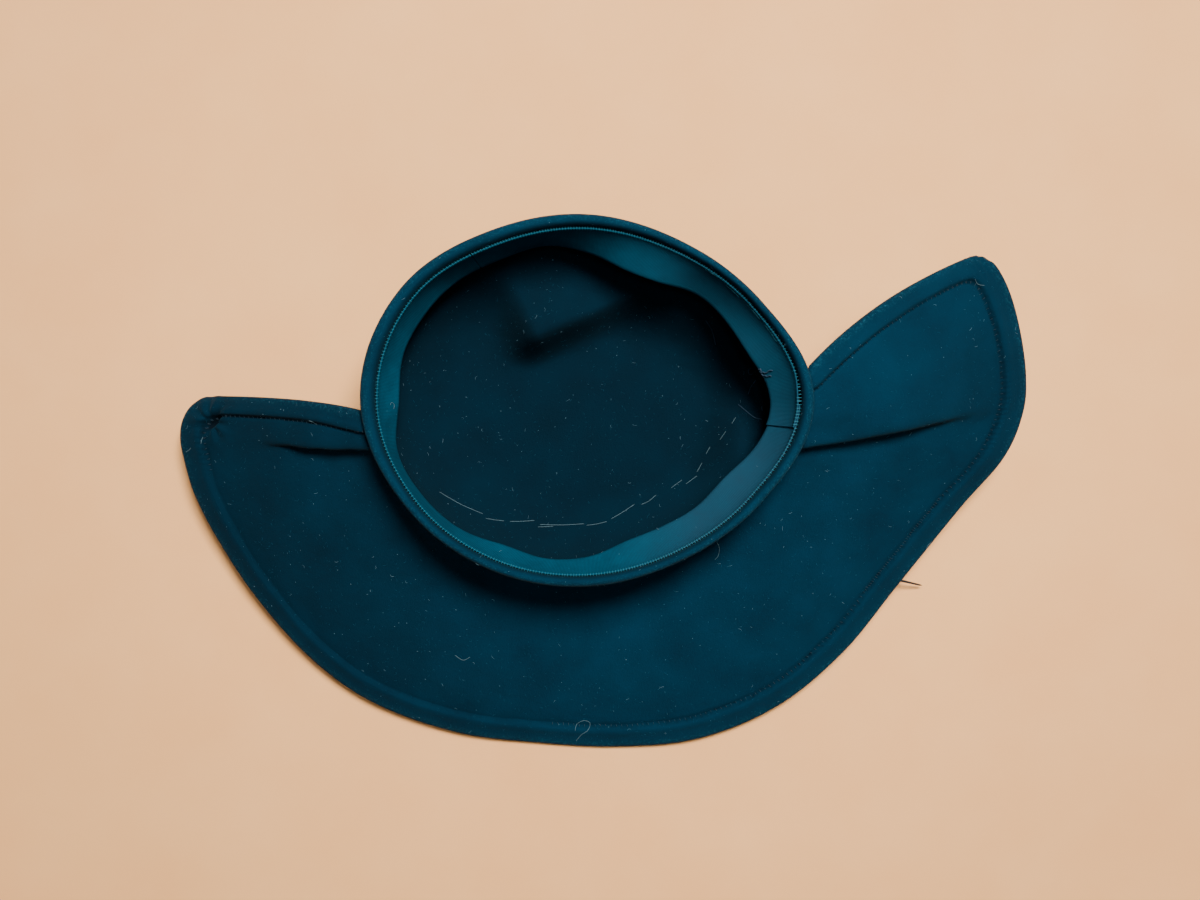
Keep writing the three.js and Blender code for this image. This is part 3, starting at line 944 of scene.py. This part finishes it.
class Nodes:
    """A material's node tree, with short ways to add and join nodes."""

    def __init__(self, name):
        self.material = bpy.data.materials.new(name)
        self.material.use_nodes = True
        self.tree = self.material.node_tree
        self.shader = self.tree.nodes["Principled BSDF"]
        self.place = self.tree.nodes.new("ShaderNodeTexCoord").outputs["Object"]

    def add(self, kind, **settings):
        node = self.tree.nodes.new("ShaderNode" + kind)
        for key, value in settings.items():
            setattr(node, key, value)
        return node

    def join(self, source, target):
        self.tree.links.new(source, target)

    def noise(self, size_mm, detail=3.0, roughness=0.6):
        node = self.add("TexNoise")
        node.inputs["Scale"].default_value = 1 / (size_mm * MM)
        node.inputs["Detail"].default_value = detail
        node.inputs["Roughness"].default_value = roughness
        self.join(self.place, node.inputs["Vector"])
        return node.outputs["Fac"]

    def piece_map(self, name="edge"):
        """The two values kept in one of a piece's maps."""
        parts = self.add("SeparateXYZ")
        self.join(self.add("UVMap", uv_map=name).outputs["UV"], parts.inputs[0])
        return [self.math("MULTIPLY", parts.outputs[axis], 1 / MAP_SCALE) for axis in "XY"]

    def place_parts(self):
        """The x and y of a place on the piece, in metres."""
        parts = self.add("SeparateXYZ")
        self.join(self.place, parts.inputs[0])
        return parts.outputs["X"], parts.outputs["Y"]

    def spread(self, source, low, high):
        node = self.add("MapRange", clamp=True)
        node.inputs["From Min"].default_value = low
        node.inputs["From Max"].default_value = high
        self.join(source, node.inputs["Value"])
        return node.outputs["Result"]

    def math(self, operation, first, second):
        node = self.add("Math", operation=operation)
        for socket, value in zip(node.inputs, (first, second)):
            if isinstance(value, (int, float)):
                socket.default_value = value
            else:
                self.join(value, socket)
        return node.outputs[0]

    def mix(self, factor, first, second):
        node = self.add("Mix", data_type="RGBA")
        if isinstance(factor, (int, float)):
            node.inputs["Factor"].default_value = factor
        else:
            self.join(factor, node.inputs["Factor"])
        for name, value in (("A", first), ("B", second)):
            socket = [s for s in node.inputs if s.name == name and s.type == "RGBA"][0]
            if isinstance(value, tuple):
                socket.default_value = (*value, 1)
            else:
                self.join(value, socket)
        return [s for s in node.outputs if s.type == "RGBA"][0]

    def bump(self, height, depth_mm, strength=1.0, after=None):
        node = self.add("Bump")
        node.inputs["Distance"].default_value = depth_mm * MM
        node.inputs["Strength"].default_value = strength
        self.join(height, node.inputs["Height"])
        if after:
            self.join(after, node.inputs["Normal"])
        return node.outputs["Normal"]


def linear(red, green, blue):
    """A colour from its 0 to 255 screen values."""
    values = np.array([red, green, blue]) / 255
    bright = np.where(values > 0.04045, ((values + 0.055) / 1.055) ** 2.4, values / 12.92)
    return tuple(float(value) for value in bright)


def felt_nodes(name, dark, light, worn):
    """Brushed wool felt: matted fibres, soft mottling and pale worn spots."""
    nodes = Nodes(name)
    mottle = nodes.spread(nodes.noise(22, 3, 0.55), 0.15, 0.95)
    fibres = nodes.noise(0.8, 5, 0.8)
    colour = nodes.mix(mottle, dark, light)
    flecks = nodes.spread(fibres, 0.42, 0.72)
    colour = nodes.mix(nodes.math("MULTIPLY", flecks, 0.4), colour, light)
    rub = nodes.spread(nodes.noise(1.5, 4, 0.75), 0.68, 0.8)
    rub = nodes.math("MULTIPLY", rub, nodes.spread(nodes.noise(30, 2), 0.4, 0.7))
    colour = nodes.mix(nodes.math("MULTIPLY", rub, 0.5), colour, worn)
    coarse = nodes.bump(nodes.noise(2.4, 4, 0.7), 0.4, 0.5)
    nodes.join(nodes.bump(fibres, 0.3, 0.7, coarse), nodes.shader.inputs["Normal"])
    nodes.shader.inputs["Roughness"].default_value = 0.95
    nodes.shader.inputs["Sheen Weight"].default_value = 0.08
    nodes.shader.inputs["Sheen Roughness"].default_value = 0.5
    nodes.shader.inputs["Sheen Tint"].default_value = (*worn, 1)
    nodes.shader.inputs["Specular IOR Level"].default_value = 0.08
    return nodes, colour


def brim_material(name, dark, light, worn):
    """Felt with painted shade along the sewn line of the turned edge, in the pucker's hole and
    towards the wings, and a rubbed outer fold.
    """
    nodes, colour = felt_nodes(name, dark, light, worn)
    run, distance = nodes.piece_map()
    # Painted shade along the sewn line of the turned edge, darker at the stitch pits and weaker where
    # the edge is sewn slack
    from_line = nodes.math("ABSOLUTE", nodes.math("SUBTRACT", distance, HEM_SCALE), 0)
    line = nodes.spread(from_line, 1.1, 0.2)
    phase = nodes.math("MULTIPLY", run, 2 * math.pi / STITCH_PITCH)
    pit = nodes.spread(nodes.math("COSINE", phase, 0), -0.9, 0.9)
    ragged = nodes.spread(nodes.noise(2.2, 4, 0.75), 0.35, 0.7)
    depth = nodes.math("MULTIPLY", nodes.math("ADD", nodes.math("MULTIPLY", pit, 0.4), 0.6), ragged)
    sewn_line_shade = nodes.math("MULTIPLY", line, depth)
    x, y = nodes.place_parts()
    tight = nodes.math(
        "MAXIMUM",
        nodes.spread(x, SLACK_X[0] * MM, SLACK_X[1] * MM),
        nodes.spread(y, SLACK_Y[0] * MM, SLACK_Y[1] * MM),
    )
    sewn_line_shade = nodes.math("MULTIPLY", sewn_line_shade, nodes.math("MAXIMUM", tight, SLACK_SHARE))
    colour = nodes.mix(sewn_line_shade, colour, PAINTED_SHADE_COLOUR)
    # Painted shade in the pucker's hole
    hole, _ = nodes.piece_map("pucker")
    colour = nodes.mix(nodes.spread(hole, 0.15, 0.6), colour, PAINTED_SHADE_COLOUR)
    # Painted shade that stands in for the light falling off towards both wings, lightest at
    # BRIGHTEST_X
    aside = nodes.math("ABSOLUTE", nodes.math("SUBTRACT", x, BRIGHTEST_X * MM), 0)
    wing_shade = nodes.spread(aside, WING_SHADE_REACH[0] * MM, WING_SHADE_REACH[1] * MM)
    colour = nodes.mix(nodes.math("MULTIPLY", wing_shade, WING_PAINTED_SHADE), colour, PAINTED_SHADE_COLOUR)
    fold = nodes.spread(distance, 3.0, 0.0)
    wear = nodes.spread(nodes.noise(1.1, 5, 0.8), 0.5, 0.75)
    rubbed = nodes.math("MULTIPLY", nodes.math("MULTIPLY", fold, wear), 0.35)
    colour = nodes.mix(rubbed, colour, worn)
    nodes.join(colour, nodes.shader.inputs["Base Color"])
    return nodes.material


def crown_material(name, dark, light, worn):
    """Felt that is rubbed on top of the rim, with painted shade in the seam below it and inside the
    crown.
    """
    nodes, colour = felt_nodes(name, dark, light, worn)
    _, inwards = nodes.piece_map()
    # Painted shade inside the crown, from the inner half of the rim's roll down
    inside = nodes.spread(inwards, 0.75, 1.3)
    colour = nodes.mix(nodes.math("MULTIPLY", inside, INSIDE_PAINTED_SHADE), colour, PAINTED_SHADE_COLOUR)
    outer, inner = nodes.spread(inwards, 0.02, 0.1), nodes.spread(inwards, 0.5, 0.3)
    on_top = nodes.math("MULTIPLY", outer, inner)
    wear = nodes.spread(nodes.noise(0.9, 5, 0.8), 0.5, 0.7)
    rubbed = nodes.math("MULTIPLY", nodes.math("MULTIPLY", on_top, wear), 0.24)
    colour = nodes.mix(rubbed, colour, worn)
    # Painted shade in the seam between the rim's roll and the ribbon
    above, below = nodes.spread(inwards, 0.55, 0.95), nodes.spread(inwards, 1.3, 1.05)
    seam = nodes.math("MULTIPLY", above, below)
    colour = nodes.mix(nodes.math("MULTIPLY", seam, 0.8), colour, PAINTED_SHADE_COLOUR)
    nodes.join(colour, nodes.shader.inputs["Base Color"])
    return nodes.material


def ribbon_material(name, dark, light, sheen_grey):
    """Ribbed ribbon: ribs across its width with painted shade in their grooves, a slight unevenness,
    and a painted grey sheen along the right.
    """
    nodes = Nodes(name)
    run, _ = nodes.piece_map()
    rib = nodes.math("COSINE", nodes.math("MULTIPLY", run, 2 * math.pi / RIB_PITCH), 0)
    rib = nodes.spread(rib, -1.0, 1.0)
    weave = nodes.noise(0.45, 3, 0.7)
    colour = nodes.mix(nodes.spread(nodes.noise(9, 3, 0.6), 0.1, 0.9), dark, light)
    # Painted shade in the grooves between the ribs
    groove = nodes.math("MULTIPLY", nodes.math("SUBTRACT", 1.0, rib), 0.4)
    colour = nodes.mix(groove, colour, PAINTED_SHADE_COLOUR)
    thread = nodes.math("MULTIPLY", nodes.spread(weave, 0.55, 0.8), 0.3)
    colour = nodes.mix(thread, colour, light)
    # Painted sheen: the grey shine of the ribs, growing towards the right and stronger at small y
    x, y = nodes.place_parts()
    lower = nodes.math("ADD", nodes.math("MULTIPLY", nodes.spread(y, 0.05, 0.02), 0.3), 0.3)
    right = nodes.math("MULTIPLY", nodes.spread(x, 0.0, 0.04), lower)
    colour = nodes.mix(right, colour, sheen_grey)
    nodes.join(colour, nodes.shader.inputs["Base Color"])
    nodes.shader.inputs["Roughness"].default_value = 0.75
    nodes.shader.inputs["Specular IOR Level"].default_value = 0.12
    nodes.join(nodes.bump(weave, 0.08, 0.6), nodes.shader.inputs["Normal"])
    return nodes.material


def plain_material(name, colour, roughness):
    """An even material with a little mottling."""
    nodes = Nodes(name)
    shade = tuple(value * (1 - MOTTLING) for value in colour)
    nodes.join(nodes.mix(nodes.noise(1.5, 3), shade, colour), nodes.shader.inputs["Base Color"])
    nodes.shader.inputs["Roughness"].default_value = roughness
    return nodes.material


def floor_material():
    nodes = Nodes("pale_floor")
    colour = nodes.mix(nodes.noise(60, 4), linear(238, 168, 102), linear(248, 186, 122))
    nodes.join(colour, nodes.shader.inputs["Base Color"])
    nodes.shader.inputs["Roughness"].default_value = 0.9
    return nodes.material


# Threads of the photograph, each a short list of pixels
BASTING = [
    ((439.5, 492), (460, 504), (483, 514)),
    ((485.5, 518.3), (495, 520), (504, 521)),
    ((509.9, 521.5), (522, 521.4), (534.4, 520.4)),
    ((539.8, 524.6), (562, 525), (584.2, 523.8)),
    ((538, 527), (553, 526.5)),
    ((586.5, 525.4), (597, 524), (607, 521.5)),
    ((611, 519), (623, 512), (634.5, 504.2)),
    ((641.4, 504.5), (649, 501), (656, 495)),
    ((671, 488), (682, 480)),
    ((686, 484), (697, 476)),
    ((697, 472), (702, 463)),
    ((706, 454), (710, 447)),
    ((720, 439.7), (726, 431.3)),
    ((731.9, 423.6), (735.7, 417.5)),
]
KNOT = [
    ((756.8, 370.4), (752, 367.5), (748.8, 370.5), (751, 374.5), (756.8, 371)),
    ((756.8, 370.4), (760.5, 368.5), (761.5, 372.5), (757.5, 373.5), (755.5, 370.5)),
    ((757, 371), (765, 372.2), (773, 369.5)),
    ((757, 371.5), (764, 375.2), (772, 376)),
]
DARK_THREADS = [
    ((756.3, 380), (751, 387), (748.3, 394.5)),
    ((738.4, 404.5), (746, 411), (754.4, 417.5), (762, 419.4)),
    ((762.8, 410.6), (761.6, 408), (762.5, 406), (766.3, 404.9)),
    ((705.4, 319.5), (712, 330), (715.7, 344.5)),
]
HAIRS = [
    ((715.6, 541), (718.6, 545), (719.5, 550), (718, 556), (715, 559.6)),
    ((575, 731), (577, 724), (584, 720.5), (590, 723), (588, 730), (581, 735), (576, 741)),
    ((926, 549), (929, 544), (934, 543), (936, 547), (932, 550)),
    ((390, 405), (391.5, 402.5), (394, 404.5), (393.5, 409)),
    ((975, 279), (978, 284), (984.5, 285.5)),
    ((202.8, 437), (201.6, 440), (200.8, 444)),
    ((191, 448), (188.5, 450.5), (186, 452)),
    ((309, 420.5), (313, 422), (317, 425)),
    ((455, 655), (463, 660), (470, 657)),
]
RIBBON_THREADS = [
    ((705, 269.5), (712, 273.2), (719, 277.5)),
    ((726, 285), (733, 291), (739, 297)),
    ((747, 305), (754, 312), (760, 319.5)),
    ((765, 325), (771, 333), (777, 342)),
]


def build_threads(name, drawn, tree, radius, lift):
    return strands(name, *seen_threads(tree, drawn, radius, lift), 6)


def set_material(material, *made):
    for piece in made:
        piece.data.materials.append(material)


crown = build_crown()
brim, brim_top, brim_distance = build_brim()
ribbon_long = build_ribbon("ribbon_long", "sweatband_long", JOIN_ANGLE, LAP_UNDER, flat_lift)
SHORT_END = JOIN_ANGLE - JOIN_GAP
ribbon_short = build_ribbon("ribbon_short", "sweatband_short", LAP_END, SHORT_END, short_lift)
quill = build_quill()
surface = surface_tree(crown, brim, ribbon_long, ribbon_short)
hem_stitches = build_hem_stitches(brim_top, brim_distance)
ribbon_stitches = build_ribbon_stitches()
basting = build_threads("basting_thread", BASTING, surface, 0.09, 0.08)
knot = build_threads("thread_knot", KNOT, surface, 0.28, 0.45)
dark_threads = build_threads("loose_threads", DARK_THREADS, surface, 0.2, 0.25)
hairs = build_threads("stray_hairs", HAIRS, surface, 0.09, 0.1)
ribbon_threads = build_threads("ribbon_threads", RIBBON_THREADS, surface, 0.12, 0.08)
fuzz = build_fibres("felt_fuzz", (crown, brim), *FUZZ)
lint = build_fibres("lint", (crown, brim, ribbon_long), *LINT)
specks = build_fibres("lint_specks", (crown, brim), *SPECKS)

DARK_FELT = linear(2, 28, 43)
LIGHT_FELT = linear(3, 45, 65)
WORN_FELT = linear(60, 120, 140)
DARK_RIBBON = linear(6, 58, 78)
LIGHT_RIBBON = linear(10, 80, 104)
# The grey of the ribbon's painted sheen
RIBBON_PAINTED_SHEEN = linear(34, 58, 76)
set_material(crown_material("crown_felt", DARK_FELT, LIGHT_FELT, WORN_FELT), crown)
set_material(brim_material("brim_felt", DARK_FELT, LIGHT_FELT, WORN_FELT), brim)
ribbed = ribbon_material("grosgrain", DARK_RIBBON, LIGHT_RIBBON, RIBBON_PAINTED_SHEEN)
set_material(ribbed, ribbon_long, ribbon_short)
set_material(plain_material("quill_horn", linear(20, 26, 36), 0.4), quill)
set_material(plain_material("hem_thread", linear(3, 40, 55), 0.8), hem_stitches)
set_material(plain_material("teal_thread", linear(15, 98, 116), 0.7), ribbon_stitches, ribbon_threads)
set_material(plain_material("pale_thread", linear(82, 114, 122), 0.8), basting, hairs)
set_material(plain_material("navy_thread", linear(16, 50, 72), 0.8), knot, dark_threads)
set_material(plain_material("fuzz", linear(8, 80, 105), 0.9), fuzz)
set_material(plain_material("lint", linear(90, 130, 145), 0.9), lint, specks)

floor = add_floor()
set_material(floor_material(), floor)
add_camera()
add_key_light()
add_top_light()
bpy.context.scene.world = studio_world()
